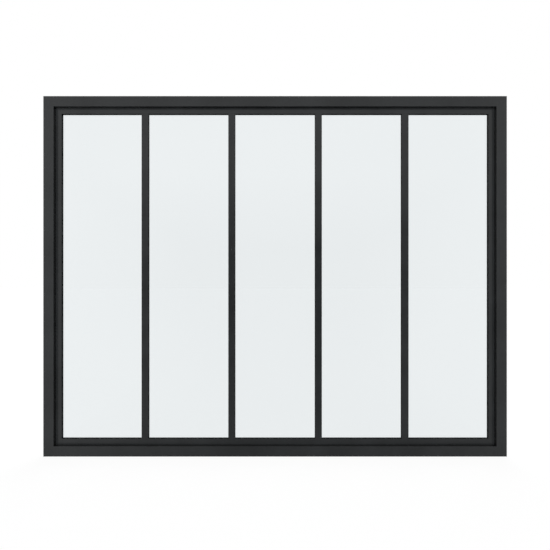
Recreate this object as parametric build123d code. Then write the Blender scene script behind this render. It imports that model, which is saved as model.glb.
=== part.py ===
from build123d import *
import os

# A fixed steel window of five equal tall panes. A hollow outer frame holds a glazing frame that is
# set back from its front face, and four full-height bars divide the glazing frame.
# X runs to the right as seen from outside, Y from the outside face to the room, and Z up.
# The origin is the middle of the sill's underside. Every size is in millimetres.

# Outer frame: hollow steel section, mitred at the corners.
window_width = 1800.0
window_height = 1400.0
frame_depth = 70.0
frame_face = 40.0
frame_wall = 2.5
frame_radius = 0.8

# Glazing frame and bars: hollow profiles with a leg in front of the glass and a body beside it.
recess = 25.0
glazing_depth = 40.0
leg_depth = 15.0
leg_reach = 10.0
glazing_face = 23.0
glazing_wall = 1.75
bar_face = 27.0
bar_wall = 1.5
profile_radius = 0.5
pane_count = 5

# Glass, and the gaskets on both sides of it.
front_gasket_depth = 5.0
front_gasket_width = 7.0
glass_thickness = 6.38
rear_gasket_depth = 3.62
rear_gasket_width = 4.0
gasket_nose = 0.8
glass_clearance = 3.0
glass_arris = 0.5
block_length = 100.0

# Glazing bead: a solid strip, upright beside the gasket and then splayed back to a narrower edge.
# It stays behind the leg's edge, so that from outside the leg alone frames the glass.
bead_width = 6.3
bead_upright = 1.5
bead_edge = 3.4
bead_setback = 1.0
bead_radius = 0.6
bead_gap = 0.3

# Anchor holes at mid-depth in the outer face of the head and the jambs, each with a wider hole
# opposite it that lets the anchor's head in. The glazing frame covers the wider ones.
anchor_radius = 4.25
access_radius = 8.0
jamb_anchors = (-550.0, -200.0, 200.0, 550.0)
head_anchors = (-750.0, -250.0, 250.0, 750.0)

# Depths that follow from these sizes.
frame_front = -frame_depth / 2
leg_front = frame_front + recess
leg_back = leg_front + leg_depth
glazing_back = leg_front + glazing_depth
glass_front = leg_back + front_gasket_depth
glass_back = glass_front + glass_thickness
glass_middle = (glass_front + glass_back) / 2
bead_front = glass_back + rear_gasket_depth
bead_back = glazing_back - bead_setback

# Widths and heights that follow from them.
middle_height = window_height / 2
glazing_body = glazing_face - leg_reach
bar_body = bar_face - 2 * leg_reach
rebate_bottom = frame_face + glazing_body
clear_width = window_width - 2 * (frame_face + glazing_face)
pane_width = (clear_width - (pane_count - 1) * bar_face) / pane_count
pane_height = window_height - 2 * (frame_face + glazing_face)
pane_pitch = pane_width + bar_face
rebate_width = pane_width + 2 * leg_reach
rebate_height = pane_height + 2 * leg_reach
glass_width = rebate_width - 2 * glass_clearance
glass_height = rebate_height - 2 * glass_clearance

# How far each side of a rectangle is turned about Y from its bottom side.
side_turns = {"sill": 0.0, "left_jamb": 90.0, "head": 180.0, "right_jamb": 270.0}


def hollow(outline, wall, radius):
    """The outline with rounded corners and a hollow inside it, one wall thickness in. The corners
    at the bottom of a rebate stay square, so that a bar's end seats in them."""
    tip = max(corner.X for corner in outline.vertices())
    rounded = [
        corner
        for corner in outline.vertices()
        if abs(corner.X) > tip - radius or abs(corner.Y - leg_back) > radius
    ]
    return fillet(rounded, radius) - offset(outline, amount=-wall)


def outer_section():
    """Rectangle of the outer frame. In a section, x runs from the outer edge to the opening."""
    outline = Pos(0, frame_front) * Rectangle(frame_face, frame_depth, align=(Align.MIN, Align.MIN))
    return hollow(outline, frame_wall, frame_radius)


def glazing_section():
    """L of the glazing frame: its leg stands in front of the rebate, its body beside it."""
    outline = make_face(
        Polyline(
            (0, leg_front),
            (glazing_face, leg_front),
            (glazing_face, leg_back),
            (glazing_body, leg_back),
            (glazing_body, glazing_back),
            (0, glazing_back),
            close=True,
        )
    )
    return hollow(outline, glazing_wall, profile_radius)


def bar_section():
    """T of a glazing bar, with a rebate on each side of its body."""
    leg = Pos(0, leg_front) * Rectangle(bar_face, leg_depth, align=(Align.CENTER, Align.MIN))
    body = Pos(0, leg_front) * Rectangle(bar_body, glazing_depth, align=(Align.CENTER, Align.MIN))
    return hollow(leg + body, bar_wall, profile_radius)


def bead_section():
    """Solid glazing bead, rounded where it faces the opening."""
    outline = make_face(
        Polyline(
            (0, bead_front),
            (bead_width, bead_front),
            (bead_width, bead_front + bead_upright),
            (bead_edge, bead_back),
            (0, bead_back),
            close=True,
        )
    )
    opening_side = [corner for corner in outline.vertices() if corner.X > bead_radius]
    return fillet(opening_side, bead_radius)


def gasket_section(front, depth, width):
    """Strip of rubber beside the glass, with a rounded nose towards the opening."""
    strip = Pos(0, front) * Rectangle(width, depth, align=(Align.MIN, Align.MIN))
    return fillet(strip.vertices().group_by(Axis.X)[-1], gasket_nose)


def straight_length(section, length, distance):
    """A length along X whose outer edge lies at the given distance below the centre."""
    end = Plane(origin=(length / 2, 0, -distance), x_dir=(0, 0, 1), z_dir=(-1, 0, 0))
    return extrude(end * section, length)


def mitred_length(section, face, length, distance):
    """The same length with both ends cut at 45 degrees across a face of the given width."""
    corners = Polyline(
        (-length / 2, -distance),
        (length / 2, -distance),
        (length / 2 - face, face - distance),
        (-length / 2 + face, face - distance),
        close=True,
    )
    kept = extrude(Plane.XZ * make_face(corners), frame_depth, both=True)
    return straight_length(section, length, distance) & kept


def drilled(length, distance, places):
    """A length of the outer frame with its anchor holes and the access holes opposite them."""
    for place in places:
        outer_face = Pos(place, 0, -distance)
        inner_face = Pos(place, 0, -distance + frame_face)
        length -= outer_face * Cylinder(anchor_radius, 2 * (frame_wall + frame_radius))
        length -= inner_face * Cylinder(access_radius, 2 * (frame_wall + frame_radius))
    return length


def turned(piece, side, centre_x=0.0):
    """A bottom length turned to its own side of a rectangle about the given centre."""
    return Pos(centre_x, 0, middle_height) * Rot(0, side_turns[side], 0) * piece


def side_lengths(width, height):
    """For each side of a rectangle, its own length and its distance from the centre."""
    along = {"sill": width, "head": width, "left_jamb": height, "right_jamb": height}
    return {side: (length, (width + height - length) / 2) for side, length in along.items()}


def outer_frame():
    """Four mitred lengths, drilled for anchors in the head and the jambs."""
    anchors = {"sill": (), "head": head_anchors, "left_jamb": jamb_anchors, "right_jamb": jamb_anchors}
    section = outer_section()
    pieces = {}
    for side, (length, distance) in side_lengths(window_width, window_height).items():
        piece = mitred_length(section, frame_face, length, distance)
        pieces[f"outer_{side}"] = turned(drilled(piece, distance, anchors[side]), side)
    return pieces


def glazing_frame():
    """Four mitred lengths inside the outer frame, set back from its front and a little from its back."""
    section = glazing_section()
    inside = side_lengths(window_width - 2 * frame_face, window_height - 2 * frame_face)
    pieces = {}
    for side, (length, distance) in inside.items():
        pieces[f"glazing_{side}"] = turned(mitred_length(section, glazing_face, length, distance), side)
    return pieces


def glazing_bar(centre_x):
    """A bar whose body runs to the rebates of the head and the sill. Its leg is coped at both ends,
    so that it butts on the legs of the glazing frame and its body seats behind them."""
    bar = extrude(Pos(0, 0, rebate_bottom) * bar_section(), rebate_height)
    for end in (rebate_bottom, rebate_bottom + rebate_height - leg_reach):
        cope = Box(bar_face, leg_depth, leg_reach, align=(Align.CENTER, Align.MIN, Align.MIN))
        bar -= Pos(0, leg_front, end) * cope
    return Pos(centre_x, 0, 0) * bar


def glass(centre_x):
    """One sheet of laminated glass with its arrises taken off."""
    sheet = chamfer(Box(glass_width, glass_thickness, glass_height).edges(), glass_arris)
    return Pos(centre_x, glass_middle, middle_height) * sheet


def gasket_ring(centre_x, front, depth, width):
    """A ring of rubber with joined corners, as wide and high outside as the glass."""
    section = gasket_section(front, depth, width)
    ring = Part()
    for side, (length, distance) in side_lengths(glass_width, glass_height).items():
        ring += turned(mitred_length(section, width, length, distance), side, centre_x)
    return ring


def gaskets(centre_x):
    """The ring in front of the glass, out to the leg's edge, and the narrower ring behind it."""
    front = gasket_ring(centre_x, leg_back, front_gasket_depth, front_gasket_width)
    rear = gasket_ring(centre_x, glass_back, rear_gasket_depth, rear_gasket_width)
    return Compound([front.solid(), rear.solid()])


def beads(centre_x):
    """Four beads on the room side of a pane, mitred with a fine gap at each corner."""
    section = bead_section()
    pieces = {}
    for side, (length, distance) in side_lengths(rebate_width, rebate_height).items():
        bead = mitred_length(section, bead_width, length - bead_gap, distance)
        pieces[side.replace("_jamb", "")] = turned(bead, side, centre_x)
    return pieces


def setting_blocks(centres):
    """Two blocks under each pane, at a quarter of its width from either end."""
    blocks = []
    for centre_x in centres:
        for shift in (-glass_width / 4, glass_width / 4):
            block = Box(block_length, glass_thickness, glass_clearance)
            middle = Pos(centre_x + shift, glass_middle, rebate_bottom + glass_clearance / 2)
            blocks.append(middle * block)
    return Compound(blocks)


def window():
    """Every piece of the window, by name."""
    first_pane = -(pane_count - 1) * pane_pitch / 2
    centres = [first_pane + pane * pane_pitch for pane in range(pane_count)]
    pieces = {**outer_frame(), **glazing_frame()}
    for number, centre_x in enumerate(centres[:-1], start=1):
        pieces[f"glazing_bar_{number}"] = glazing_bar(centre_x + pane_pitch / 2)
    for number, centre_x in enumerate(centres, start=1):
        pieces[f"glass_{number}"] = glass(centre_x)
        pieces[f"gaskets_{number}"] = gaskets(centre_x)
        for side, bead in beads(centre_x).items():
            pieces[f"bead_{number}_{side}"] = bead
    pieces["setting_blocks"] = setting_blocks(centres)
    return pieces


os.makedirs("parts", exist_ok=True)
for name, piece in window().items():
    export_step(piece, f"parts/{name}.step")
    print(name, round(piece.volume), "mm3")
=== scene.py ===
import math

import bpy
import numpy as np
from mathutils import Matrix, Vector


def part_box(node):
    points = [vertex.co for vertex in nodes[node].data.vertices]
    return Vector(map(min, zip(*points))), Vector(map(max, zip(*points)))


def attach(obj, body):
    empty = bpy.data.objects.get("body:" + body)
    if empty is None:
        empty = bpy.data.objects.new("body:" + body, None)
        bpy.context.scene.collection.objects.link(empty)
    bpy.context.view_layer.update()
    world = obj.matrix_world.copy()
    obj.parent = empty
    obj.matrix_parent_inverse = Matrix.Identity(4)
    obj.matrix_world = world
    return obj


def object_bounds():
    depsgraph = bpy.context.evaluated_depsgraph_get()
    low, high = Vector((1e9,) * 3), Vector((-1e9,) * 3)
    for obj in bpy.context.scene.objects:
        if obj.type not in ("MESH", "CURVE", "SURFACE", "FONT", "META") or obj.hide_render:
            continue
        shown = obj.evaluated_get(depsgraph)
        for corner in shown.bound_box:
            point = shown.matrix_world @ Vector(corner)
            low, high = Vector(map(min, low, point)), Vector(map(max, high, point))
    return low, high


# A fixed steel window with five tall panes, seen straight from outside on white.
# Metres, X to the right, Y from outside to the room, Z up, the sill's underside at zero.
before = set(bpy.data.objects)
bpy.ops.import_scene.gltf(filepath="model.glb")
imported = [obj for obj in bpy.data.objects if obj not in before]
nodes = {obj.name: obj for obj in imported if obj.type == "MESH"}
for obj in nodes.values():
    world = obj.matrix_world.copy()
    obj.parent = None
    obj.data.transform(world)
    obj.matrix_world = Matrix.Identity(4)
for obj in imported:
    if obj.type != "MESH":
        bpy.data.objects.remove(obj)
cadLow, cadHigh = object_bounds()
print("frame loaded,", len(nodes), "nodes")


# Small helpers for meshes and node trees

def makePiece(name, points, faces, material):
    mesh = bpy.data.meshes.new(name)
    mesh.from_pydata(points.tolist(), [], faces)
    mesh.materials.append(material)
    mesh.update()
    piece = bpy.data.objects.new(name, mesh)
    bpy.context.scene.collection.objects.link(piece)
    return piece


def newMaterial(name):
    material = bpy.data.materials.new(name)
    material.use_nodes = True
    material.node_tree.nodes.clear()
    return material, material.node_tree


def opaque(colour):
    return (*colour, 1.0)


def addNode(tree, kind, inputs=None, **settings):
    # an input is a plain value, or another node's output to link
    node = tree.nodes.new(kind)
    for key, value in settings.items():
        setattr(node, key, value)
    for key, value in (inputs or {}).items():
        if isinstance(value, bpy.types.NodeSocket):
            tree.links.new(value, node.inputs[key])
        else:
            node.inputs[key].default_value = value
    return node


# between these lies nearly all of a noise texture
noiseRange = (0.35, 0.65)


def rampBetween(tree, factor, low, high, span=noiseRange):
    # the factor's span becomes low to high, and beyond it the result stays at low or high
    return addNode(tree, "ShaderNodeMapRange", {
        "Value": factor, "From Min": span[0], "From Max": span[1], "To Min": low, "To Max": high,
    }).outputs["Result"]


# a Mix node's two inputs and its output, for each kind of thing that it mixes
mixSockets = {"FLOAT": (2, 3, 0), "RGBA": (6, 7, 2)}


def mixOf(tree, kind, factor, first, second):
    firstInput, secondInput, output = mixSockets[kind]
    mix = addNode(tree, "ShaderNodeMix", {0: factor, firstInput: first, secondInput: second}, data_type=kind)
    return mix.outputs[output]


def mixColours(tree, factor, first, second):
    return mixOf(tree, "RGBA", factor, opaque(first), opaque(second))


def mathOf(tree, operation, first, second=0.0):
    return addNode(tree, "ShaderNodeMath", {0: first, 1: second}, operation=operation).outputs[0]


def noiseAt(tree, place, scale, detail=2.0, roughness=0.5):
    return addNode(tree, "ShaderNodeTexNoise", {
        "Vector": place, "Scale": scale, "Detail": detail, "Roughness": roughness,
    }).outputs["Fac"]


def bumpOf(tree, height, depth, strength, under=None):
    # under is the normal of a coarser bump that this one lies on
    inputs = {"Height": height, "Distance": depth, "Strength": strength}
    if under is not None:
        inputs["Normal"] = under
    return addNode(tree, "ShaderNodeBump", inputs).outputs["Normal"]


def objectPlace(tree):
    return addNode(tree, "ShaderNodeTexCoord").outputs["Object"]


# Powder-coated steel: a fine-texture anthracite coat, a little uneven in tone and gloss

coatLook = {
    "colour": (0.0156, 0.017, 0.0178),
    "colourThin": (0.0312, 0.0338, 0.0356),  # where the coat lies a little lighter
    "patchScale": 9.0,                       # slow patches, about 110 mm
    "patchDetail": 4.0,
    "mottleScale": 620.0,                    # fine mottle, about 1.6 mm
    "mottleDetail": 3.0,
    "mottleRoughness": 0.65,
    "mottleShare": 0.6,                      # the rest is the slow patches
    "roughness": (0.13, 0.21),               # in the colour, and where it is lighter
    "peelScale": 380.0,                      # slow orange peel, about 2.6 mm
    "peelDepth": 0.0001,
    "peelStrength": 0.6,
    "grainScale": 1700.0,                    # the coat's own grain on top of it, about 0.6 mm
    "grainDetail": 1.0,
    "grainDepth": 0.00005,
    "grainStrength": 0.5,
}


def coatMaterial(name, look=coatLook):
    material, tree = newMaterial(name)
    place = objectPlace(tree)
    patches = noiseAt(tree, place, look["patchScale"], look["patchDetail"])
    mottle = noiseAt(tree, place, look["mottleScale"], look["mottleDetail"], look["mottleRoughness"])
    blend = mixOf(tree, "FLOAT", look["mottleShare"], patches, mottle)
    colour = mixColours(tree, rampBetween(tree, blend, 0.0, 1.0), look["colour"], look["colourThin"])
    waves = noiseAt(tree, place, look["peelScale"])
    peel = bumpOf(tree, waves, look["peelDepth"], look["peelStrength"])
    grains = noiseAt(tree, place, look["grainScale"], look["grainDetail"])
    shader = addNode(tree, "ShaderNodeBsdfPrincipled", {
        "Base Color": colour, "Roughness": rampBetween(tree, blend, *look["roughness"]),
        "Normal": bumpOf(tree, grains, look["grainDepth"], look["grainStrength"], under=peel),
    })
    addNode(tree, "ShaderNodeOutputMaterial", {"Surface": shader.outputs[0]})
    return material


# Rubber: matt black, with a fine grain and a faint bloom

rubberLook = {
    "colour": (0.012, 0.012, 0.013),
    "bloom": (0.024, 0.024, 0.025),
    "bloomScale": 45.0,
    "bloomDetail": 5.0,
    "roughness": (0.62, 0.8),     # without bloom and with it
    "specular": 0.22,
    "grainScale": 1400.0,
    "grainDepth": 0.00004,
    "grainStrength": 0.5,
}


def rubberMaterial(name, look=rubberLook):
    material, tree = newMaterial(name)
    place = objectPlace(tree)
    bloom = rampBetween(tree, noiseAt(tree, place, look["bloomScale"], look["bloomDetail"]), 0.0, 1.0)
    grain = noiseAt(tree, place, look["grainScale"])
    shader = addNode(tree, "ShaderNodeBsdfPrincipled", {
        "Base Color": mixColours(tree, bloom, look["colour"], look["bloom"]),
        "Roughness": rampBetween(tree, bloom, *look["roughness"], span=(0.0, 1.0)),
        "Normal": bumpOf(tree, grain, look["grainDepth"], look["grainStrength"]),
        "Specular IOR Level": look["specular"],
    })
    addNode(tree, "ShaderNodeOutputMaterial", {"Surface": shader.outputs[0]})
    return material


# Glass: clear laminated sheets, a little cool, with very faint long waves

glassLook = {
    "tint": (0.855, 0.888, 0.898),
    "tintDeep": (0.85, 0.883, 0.894),
    "waveScale": 2.2,
    "waveDetail": 1.0,
    "waveDepth": 0.0004,
    "waveStrength": 0.3,
    "ior": 1.4,                       # a little low, for a fainter mirror
    "lampTint": (0.93, 0.95, 0.95),   # what lamps keep on their way through
}


def glassMaterial(name, look=glassLook):
    material, tree = newMaterial(name)
    waves = noiseAt(tree, objectPlace(tree), look["waveScale"], look["waveDetail"])
    shader = addNode(tree, "ShaderNodeBsdfPrincipled", {
        "Base Color": mixColours(tree, rampBetween(tree, waves, 0.0, 1.0), look["tint"], look["tintDeep"]),
        "Roughness": 0.0, "IOR": look["ior"], "Transmission Weight": 1.0,
        "Normal": bumpOf(tree, waves, look["waveDepth"], look["waveStrength"]),
    })
    # lamps pass through the sheet, so that the floor behind it is lit
    clear = addNode(tree, "ShaderNodeBsdfTransparent", {"Color": opaque(look["lampTint"])})
    path = addNode(tree, "ShaderNodeLightPath")
    mix = addNode(tree, "ShaderNodeMixShader", {
        0: path.outputs["Is Shadow Ray"], 1: shader.outputs[0], 2: clear.outputs[0],
    })
    addNode(tree, "ShaderNodeOutputMaterial", {"Surface": mix.outputs[0]})
    return material


# Setting blocks: dark grey moulded plastic with a fine grain

blockLook = {
    "colour": (0.05, 0.05, 0.052),
    "colourWorn": (0.07, 0.07, 0.072),
    "roughness": (0.5, 0.65),     # in the colour, and where it is worn
    "grainScale": 900.0,
    "grainDepth": 0.00005,
    "grainStrength": 0.5,
}


def blockMaterial(name, look=blockLook):
    material, tree = newMaterial(name)
    grain = noiseAt(tree, objectPlace(tree), look["grainScale"])
    worn = rampBetween(tree, grain, 0.0, 1.0)
    shader = addNode(tree, "ShaderNodeBsdfPrincipled", {
        "Base Color": mixColours(tree, worn, look["colour"], look["colourWorn"]),
        "Roughness": rampBetween(tree, grain, *look["roughness"]),
        "Normal": bumpOf(tree, grain, look["grainDepth"], look["grainStrength"]),
    })
    addNode(tree, "ShaderNodeOutputMaterial", {"Surface": shader.outputs[0]})
    return material


# Screws: blackened steel, worn in fine spots

screwLook = {
    "colour": (0.045, 0.045, 0.047),
    "colourWorn": (0.09, 0.09, 0.092),
    "wearScale": 1200.0,
    "wearDetail": 3.0,
    "roughness": (0.34, 0.48),    # in the colour, and where it is worn
    "metallic": 0.8,
}


def screwMaterial(name, look=screwLook):
    material, tree = newMaterial(name)
    wear = noiseAt(tree, objectPlace(tree), look["wearScale"], look["wearDetail"])
    worn = rampBetween(tree, wear, 0.0, 1.0)
    shader = addNode(tree, "ShaderNodeBsdfPrincipled", {
        "Base Color": mixColours(tree, worn, look["colour"], look["colourWorn"]),
        "Roughness": rampBetween(tree, wear, *look["roughness"]),
        "Metallic": look["metallic"],
    })
    addNode(tree, "ShaderNodeOutputMaterial", {"Surface": shader.outputs[0]})
    return material


anthraciteCoat = coatMaterial("anthraciteCoat")
blackRubber = rubberMaterial("blackRubber")
clearGlass = glassMaterial("clearGlass")
darkPlastic = blockMaterial("darkPlastic")
blackenedSteel = screwMaterial("blackenedSteel")


def finishFor(name):
    if name.startswith("glass_"):
        return clearGlass
    if name.startswith("gaskets_"):
        return blackRubber
    if name == "setting_blocks":
        return darkPlastic
    return anthraciteCoat


for name, node in nodes.items():
    node.data.materials.clear()
    node.data.materials.append(finishFor(name))
print("finishes on the frame's own pieces")


# Bead screws: raised countersunk heads with a cross recess, on the splayed face of each bead

beadShape = {
    "upright": 0.0015,        # how deep the bead is before its splay starts
    "edge": 0.0034,           # how wide it still is at the room side
    "endGap": 0.06,           # from a bead's end to its first screw
    "pitch": 0.3,             # the most between two screws
}

screwSizes = {
    "headRadius": 0.0027,
    "dome": 0.00055,
    "sunk": 0.0003,           # how far the closed underside lies inside the bead
    "recessDepth": 0.0009,
    "armLength": 0.0017,
    "armHalf": 0.0006,        # from an arm's middle line to where its slope ends on the dome
    "armSlope": 0.0004,       # how wide the slope on each side of an arm is
    "endSlope": 0.0004,       # how long the slope at an arm's end is
    "angles": 32,
    "rings": 9,
    "spin": 2.39996,          # from one screw's cross to the next, so that no two stand alike
}


def screwHead(sizes):
    # A point is at radius r and angle a. Its height is a dome that falls as r squared, less a cross recess
    # whose depth fades out over the arms' slopes. The last ring goes straight down into the bead.
    count = sizes["angles"]
    angle = np.arange(count) * 2 * np.pi / count
    radius = np.linspace(0, 1, sizes["rings"] + 1)[1:] * sizes["headRadius"]
    r, a = np.meshgrid(radius, angle, indexing="ij")
    x, y = r * np.cos(a), r * np.sin(a)
    across = np.minimum(np.abs(x), np.abs(y))
    besideArm = np.clip((sizes["armHalf"] - across) / sizes["armSlope"], 0, 1)
    alongArm = np.clip((sizes["armLength"] - r) / sizes["endSlope"], 0, 1)
    dome = sizes["dome"] * (1 - (r / sizes["headRadius"]) ** 2)
    top = np.stack([x, y, dome - sizes["recessDepth"] * besideArm * alongArm], axis=-1).reshape(-1, 3)
    rim = np.stack([x[-1], y[-1], np.full(count, -sizes["sunk"])], axis=-1)
    centre = np.array([[0, 0, sizes["dome"] - sizes["recessDepth"]], [0, 0, -sizes["sunk"]]])
    points = np.concatenate([top, rim, centre])
    ring, step = np.meshgrid(np.arange(sizes["rings"]), np.arange(count), indexing="ij")
    here = ring * count + step
    beside = ring * count + (step + 1) % count
    quads = np.stack([here, here + count, beside + count, beside], axis=-1).reshape(-1, 4)
    loop = np.arange(count)
    after = (loop + 1) % count
    middle, last = len(points) - 2, sizes["rings"] * count
    inner = np.stack([np.full(count, middle), loop, after], axis=-1)
    under = np.stack([np.full(count, middle + 1), last + after, last + loop], axis=-1)
    return points, quads, np.concatenate([inner, under])


def screwPlaces(low, high, shape=beadShape):
    # evenly from endGap inside one end to endGap inside the other, no further apart than the pitch
    first, last = low + shape["endGap"], high - shape["endGap"]
    return np.linspace(first, last, math.ceil((last - first) / shape["pitch"]) + 1)


def screwSpots(shape=beadShape):
    # For each screw: the middle of its bead's splay, the way that the splay looks, which is out of the
    # rebate and a little to the room, and the way that the bead runs.
    for name in sorted(n for n in nodes if n.startswith("bead_")):
        low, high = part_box(name)
        side = name.rsplit("_", 1)[1]
        upright = side in ("left", "right")
        run, cross = ("z", "x") if upright else ("x", "z")
        along = Vector((0, 0, 1)) if upright else Vector((1, 0, 0))
        outward = 1.0 if side in ("left", "sill") else -1.0
        rebate = getattr(low if outward > 0 else high, cross)
        width = getattr(high, cross) - getattr(low, cross)
        splayDepth = high.y - low.y - shape["upright"]
        splay = Vector((splayDepth, width - shape["edge"])).normalized()
        for place in screwPlaces(getattr(low, run), getattr(high, run)):
            spot, way = Vector((0, high.y - splayDepth / 2, 0)), Vector((0, splay.y, 0))
            setattr(spot, run, place)
            setattr(spot, cross, rebate + outward * (width + shape["edge"]) / 2)
            setattr(way, cross, outward * splay.x)
            yield spot, way, along


def makeScrews(sizes=screwSizes):
    # every head is the same points, turned so that its height runs along its own way
    points, quads, triangles = screwHead(sizes)
    place, up, along = (np.array(column) for column in zip(*screwSpots()))
    count = len(place)
    across = np.cross(up, along)
    spin = (np.arange(count) * sizes["spin"])[:, None]
    first = along * np.cos(spin) + across * np.sin(spin)
    axes = np.stack([first, np.cross(up, first), up], axis=1)
    world = np.einsum("pk,skc->spc", points, axes) + place[:, None, :]
    shift = np.arange(count)[:, None, None] * len(points)
    allQuads = (quads[None] + shift).reshape(-1, 4)
    allTriangles = (triangles[None] + shift).reshape(-1, 3)
    faces = allQuads.tolist() + allTriangles.tolist()
    piece = makePiece("bead_screws", world.reshape(-1, 3), faces, blackenedSteel)
    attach(piece, "root")
    print("bead screws:", count)


makeScrews()


# Floor, light and camera

white = (1.0, 1.0, 1.0)

stageLook = {
    "floorHalf": 30.0,
    "floorColour": (0.8, 0.8, 0.8),
    "floorGlow": 0.947,       # how white the floor shows, before the light on it
    "floorLit": 0.2,          # how much of the light and the shadows it shows
    "ambient": 0.13,
}

# What gloss mirrors: a room that is dark straight ahead and straight behind, and lighter to both sides,
# above and below. Turns are parts of the ray's direction, from where a part of the room starts to where
# it is full.
roomLook = {
    "beside": 0.84,
    "besideTurns": (0.12, 0.36),
    "besideFall": (0.2, -0.3),
    "besideLow": 0.35,        # how much of beside is left at the end of its fall
    "above": 0.6,
    "aboveTurns": (0.04, 0.16),
    "below": 0.27,
    "belowTurns": (-0.05, -0.3),
    "lean": 0.2,              # how much lighter the left is than the right
    "behind": 0.01,
    "behindTurns": (0.5, 0.85),
}


def rayKinds(tree):
    # mirrored is 1 once a ray has left gloss, also behind glass. Seen is 1 for rays from the camera,
    # off gloss and through glass, and 0 for those that light the object.
    path = addNode(tree, "ShaderNodeLightPath").outputs
    mirrored = mathOf(tree, "MINIMUM", path["Glossy Depth"], 1.0)
    shown = mathOf(tree, "MAXIMUM", path["Is Camera Ray"], path["Is Transmission Ray"])
    shown = mathOf(tree, "MAXIMUM", shown, path["Is Glossy Ray"])
    lighting = mathOf(tree, "MINIMUM", path["Diffuse Depth"], 1.0)
    return mirrored, mathOf(tree, "MULTIPLY", shown, mathOf(tree, "SUBTRACT", 1.0, lighting))


def makeFloor(look=stageLook):
    # a square about the origin, floorHalf from its middle to each side
    half = look["floorHalf"]
    points = np.array([[-half, -half, 0], [half, -half, 0], [half, half, 0], [-half, half, 0]])
    material, tree = newMaterial("paleFloor")
    mirrored, seen = rayKinds(tree)
    lit = addNode(tree, "ShaderNodeBsdfDiffuse", {"Color": opaque(look["floorColour"])})
    share = addNode(tree, "ShaderNodeBsdfDiffuse", {"Color": opaque([look["floorLit"]] * 3)})
    glow = addNode(tree, "ShaderNodeEmission", {"Strength": look["floorGlow"]})
    shown = addNode(tree, "ShaderNodeAddShader", {0: glow.outputs[0], 1: share.outputs[0]})
    # gloss looks through the floor, at the room's own shade below
    room = addNode(tree, "ShaderNodeBsdfTransparent")
    pale = addNode(tree, "ShaderNodeMixShader", {0: mirrored, 1: shown.outputs[0], 2: room.outputs[0]})
    mix = addNode(tree, "ShaderNodeMixShader", {0: seen, 1: lit.outputs[0], 2: pale.outputs[0]})
    addNode(tree, "ShaderNodeOutputMaterial", {"Surface": mix.outputs[0]})
    makePiece("floor", points, [[0, 1, 2, 3]], material)


def roomShade(tree, look=roomLook):
    way = addNode(tree, "ShaderNodeTexCoord").outputs["Generated"]
    x, y, z = addNode(tree, "ShaderNodeSeparateXYZ", {0: way}).outputs
    beside = rampBetween(tree, mathOf(tree, "ABSOLUTE", x), 0.0, look["beside"], look["besideTurns"])
    fall = rampBetween(tree, z, 1.0, look["besideLow"], look["besideFall"])
    above = rampBetween(tree, z, 0.0, look["above"], look["aboveTurns"])
    below = rampBetween(tree, z, 0.0, look["below"], look["belowTurns"])
    shaded = mathOf(tree, "MULTIPLY", beside, fall)
    around = mathOf(tree, "ADD", mathOf(tree, "MAXIMUM", shaded, above), below)
    leaning = mathOf(tree, "SUBTRACT", around, mathOf(tree, "MULTIPLY", x, look["lean"]))
    room = mathOf(tree, "MAXIMUM", leaning, 0.0)
    front = rampBetween(tree, y, 1.0, 0.0, look["behindTurns"])
    return mixOf(tree, "FLOAT", front, look["behind"], room)


def makeWorld(look=stageLook):
    world = bpy.data.worlds.new("studio")
    world.use_nodes = True
    bpy.context.scene.world = world
    tree = world.node_tree
    tree.nodes.clear()
    mirrored, seen = rayKinds(tree)
    ambient = addNode(tree, "ShaderNodeBackground", {"Color": opaque(white), "Strength": look["ambient"]})
    shown = addNode(tree, "ShaderNodeBackground", {
        "Color": opaque(white), "Strength": mixOf(tree, "FLOAT", mirrored, 1.0, roomShade(tree)),
    })
    mix = addNode(tree, "ShaderNodeMixShader", {0: seen, 1: ambient.outputs[0], 2: shown.outputs[0]})
    addNode(tree, "ShaderNodeOutputWorld", {"Surface": mix.outputs[0]})


# Both lamps are suns, whose light comes from their place towards the aim. The front one is nearly
# straight on, so that the recess stays dark, and the back one is wide and soft.
lampList = {
    "frontLamp": {"place": (0.0, -4.2, 0.85), "aim": (0.0, 0.0, 0.7), "strength": 2.0, "width": 4.0},
    "backLamp": {"place": (0.6, 4.2, 1.4), "aim": (0.0, 0.0, 0.7), "strength": 2.6, "width": 45.0},
}


def aimed(thing, place, aim):
    # turns the object's own -Z from its place towards the aim, with its Y up
    thing.location = place
    thing.rotation_euler = (Vector(aim) - Vector(place)).to_track_quat("-Z", "Y").to_euler()
    bpy.context.scene.collection.objects.link(thing)
    return thing


def makeLamps():
    for name, lamp in lampList.items():
        light = bpy.data.lights.new(name, "SUN")
        light.angle = math.radians(lamp["width"])
        light.energy = lamp["strength"]
        sun = aimed(bpy.data.objects.new(name, light), lamp["place"], lamp["aim"])
        sun.visible_camera = False
        sun.visible_transmission = False
        sun.visible_glossy = False      # gloss mirrors the room, which is softer


cameraView = {
    "distance": 2.385,        # from the outer frame's front face
    "fieldWidth": 2.1352,     # how much the picture spans there
    "rise": 0.0052,           # above the middle of the window
    "slide": -0.0003,         # to the right of it
    "sensor": 36.0,
}


def makeCamera(view=cameraView):
    # the lens is the sensor's width times the distance over the width that the picture spans there
    data = bpy.data.cameras.new("front")
    data.sensor_width = view["sensor"]
    data.lens = view["sensor"] * view["distance"] / view["fieldWidth"]
    middle = (cadLow + cadHigh) / 2
    place = (middle.x + view["slide"], cadLow.y - view["distance"], middle.z + view["rise"])
    camera = aimed(bpy.data.objects.new("front", data), place, (place[0], middle.y, place[2]))
    bpy.context.scene.camera = camera


makeFloor()
makeWorld()
makeLamps()
makeCamera()
bpy.context.scene.view_settings.view_transform = "Standard"
print("floor, light and camera in place")
